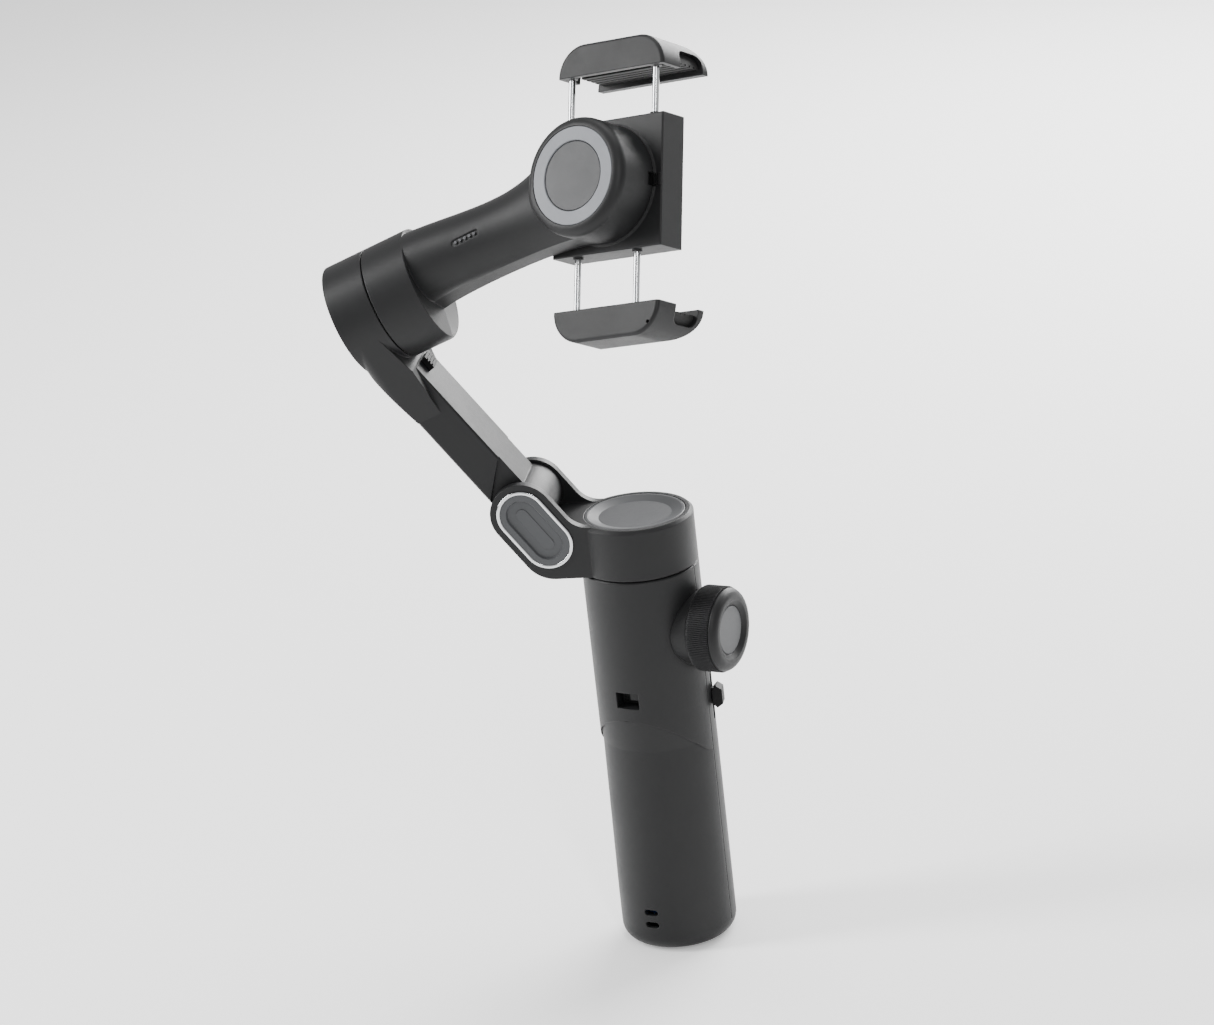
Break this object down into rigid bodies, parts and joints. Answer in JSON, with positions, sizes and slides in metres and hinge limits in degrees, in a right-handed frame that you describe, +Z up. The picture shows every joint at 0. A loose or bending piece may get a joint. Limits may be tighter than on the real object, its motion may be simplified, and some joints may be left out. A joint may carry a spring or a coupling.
{
  "type": "camera gimbal",
  "caption": "Folding three-axis hand-held gimbal: round grip with a focus wheel, forked folding arm, motor arms and a spring clamp with two jaws on slide rods for a phone.",
  "frame": {"origin": "centre of the tripod thread's mouth, where the pan axis leaves the handle's bottom", "axes": "+Z up the handle along the pan axis; -Y is the handle's control side, -X carries the focus wheel; the arm leans out to +X"},
  "size_m": [0.1164, 0.0696, 0.2776],
  "materials": {
    "body_dark": "satin moulded plastic, dark grey",
    "body_black": "fine matt moulded plastic, black",
    "ring_grey": "fine blasted, light grey",
    "disc_grey": "smooth satin, mid grey",
    "cover_grey": "smooth satin, grey",
    "chrome": "polished",
    "wheel_rubber": "fine straight knurl, dark grey",
    "pad_rubber": "soft matt rubber, black",
    "steel": "turned",
    "winding": "enamelled copper windings on laminated steel",
    "magnet_steel": "drawn bell, nickel plated",
    "thread_brass": "turned",
    "cell": "shrink-wrapped cell",
    "board": "circuit board with solder mask",
    "contact_dark": "dark plated contacts",
    "socket_steel": "pressed shell",
    "button_grey": "satin moulded plastic, grey",
    "button_red": "satin moulded plastic, red"
  },
  "bodies": {
    "handle": {"grip_back_shell": "body_dark", "grip_front_shell": "body_dark", "control_panel": "body_black", "joystick_cup": "body_black", "wheel_boss": "body_dark", "base_cap": "body_black", "tripod_insert": "thread_brass", "base_screws": "steel", "battery": "cell", "main_board": "board", "usb_socket": "socket_steel", "pan_stator": "winding", "pan_bearings": "steel"},
    "record_key": {"record_button": "button_red"},
    "mode_key": {"mode_button": "button_grey"},
    "power_key": {"power_button": "button_grey"},
    "stick_yoke": {"joystick_yoke": "steel"},
    "stick": {"joystick": "body_black"},
    "zoom_switch": {"zoom_slider": "body_black"},
    "focus_wheel": {"wheel_grip": "wheel_rubber", "wheel_rim": "body_dark", "wheel_cap": "cover_grey", "wheel_shaft": "steel"},
    "pan_head": {"fork": "body_dark", "pan_cap": "cover_grey", "pan_rotor": "magnet_steel", "pan_shaft": "steel", "hinge_pin": "steel", "hinge_rims": "chrome", "hinge_covers": "cover_grey"},
    "arm": {"main_arm": "body_dark", "hinge_bushes": "body_black", "tilt_stator": "winding", "tilt_bearings": "steel"},
    "tilt_lock_tab": {"tilt_lock": "body_black"},
    "roll_carrier": {"roll_arm": "body_dark", "tilt_rotor": "magnet_steel", "tilt_shaft": "steel", "accent_ring": "ring_grey", "motor_disc": "disc_grey", "contact_pins": "contact_dark", "roll_stator": "winding", "roll_bearings": "steel"},
    "clamp": {"clamp_box": "body_dark", "clamp_back": "body_black", "back_pad": "pad_rubber", "spring_drum": "steel", "roll_rotor": "magnet_steel", "roll_shaft": "steel"},
    "roll_lock_tab": {"roll_lock": "body_black"},
    "upper_clamp_jaw": {"upper_jaw": "body_dark", "upper_rods": "chrome", "upper_rack": "body_black", "upper_pad": "pad_rubber"},
    "lower_clamp_jaw": {"lower_jaw": "body_dark", "lower_rods": "chrome", "lower_rack": "body_black", "lower_pad": "pad_rubber"},
    "pinion": {"clamp_pinion": "body_black"}
  },
  "joints": [
    {"name": "record_press", "type": "slide", "parent": "handle", "child": "record_key", "axis": [0, 1, 0], "range_m": [0, 0.0006], "stiffness_N_per_m": 900},
    {"name": "mode_press", "type": "slide", "parent": "handle", "child": "mode_key", "axis": [0, 1, 0], "range_m": [0, 0.0006], "stiffness_N_per_m": 900},
    {"name": "power_press", "type": "slide", "parent": "handle", "child": "power_key", "axis": [0, 1, 0], "range_m": [0, 0.0006], "stiffness_N_per_m": 900},
    {"name": "stick_up_down", "type": "hinge", "parent": "handle", "child": "stick_yoke", "pos_m": [0, -0.0119, 0.09], "axis": [1, 0, 0], "range_deg": [-10, 10], "stiffness_Nm_per_rad": 0.02},
    {"name": "stick_left_right", "type": "hinge", "parent": "stick_yoke", "child": "stick", "pos_m": [0, -0.0119, 0.09], "axis": [0, 0, 1], "range_deg": [-10, 10], "stiffness_Nm_per_rad": 0.02},
    {"name": "zoom_slide", "type": "slide", "parent": "handle", "child": "zoom_switch", "axis": [0, 0, 1], "range_m": [-0.0035, 0.0035], "stiffness_N_per_m": 120},
    {"name": "focus_turn", "type": "hinge", "parent": "handle", "child": "focus_wheel", "pos_m": [0, 0, 0.1], "axis": [-1, 0, 0], "continuous": true},
    {"name": "pan_turn", "type": "hinge", "parent": "handle", "child": "pan_head", "pos_m": [0, 0, 0.135], "axis": [0, 0, 1], "range_deg": [-140, 100]},
    {"name": "arm_fold", "type": "hinge", "parent": "pan_head", "child": "arm", "pos_m": [0.02953, 0.01005, 0.14], "axis": [-0.3223, 0.9466, 0], "range_deg": [0, 145]},
    {"name": "tilt_lock_slide", "type": "slide", "parent": "arm", "child": "tilt_lock_tab", "axis": [0.5564, 0.1894, 0.809], "range_m": [0, 0.001]},
    {"name": "tilt_turn", "type": "hinge", "parent": "arm", "child": "roll_carrier", "pos_m": [0.06134, 0.02088, 0.2037], "axis": [-0.8758, -0.2982, 0.3795], "range_deg": [-120, 120]},
    {"name": "roll_turn", "type": "hinge", "parent": "roll_carrier", "child": "clamp", "pos_m": [-0.0081, 0.0093, 0.2385], "axis": [0.2082, 0.8672, 0.4524], "range_deg": [-160, 160]},
    {"name": "roll_lock_slide", "type": "slide", "parent": "clamp", "child": "roll_lock_tab", "axis": [0.9706, -0.126, -0.2052], "range_m": [0, 0.0015]},
    {"name": "upper_jaw_slide", "type": "slide", "parent": "clamp", "child": "upper_clamp_jaw", "axis": [0.1209, -0.4818, 0.8679], "range_m": [-0.0065, 0.007]},
    {"name": "lower_jaw_slide", "type": "slide", "parent": "clamp", "child": "lower_clamp_jaw", "axis": [-0.1209, 0.4818, -0.8679], "range_m": [-0.0065, 0.007]},
    {"name": "pinion_spin", "type": "hinge", "parent": "clamp", "child": "pinion", "pos_m": [-0.0081, 0.0093, 0.2385], "axis": [0.2082, 0.8672, 0.4524], "range_deg": [-94, 101]}
  ],
  "couplings": [
    {"joint": "lower_jaw_slide", "follows": "upper_jaw_slide", "ratio": 1},
    {"joint": "pinion_spin", "follows": "upper_jaw_slide", "rad_per_m": 250}
  ]
}
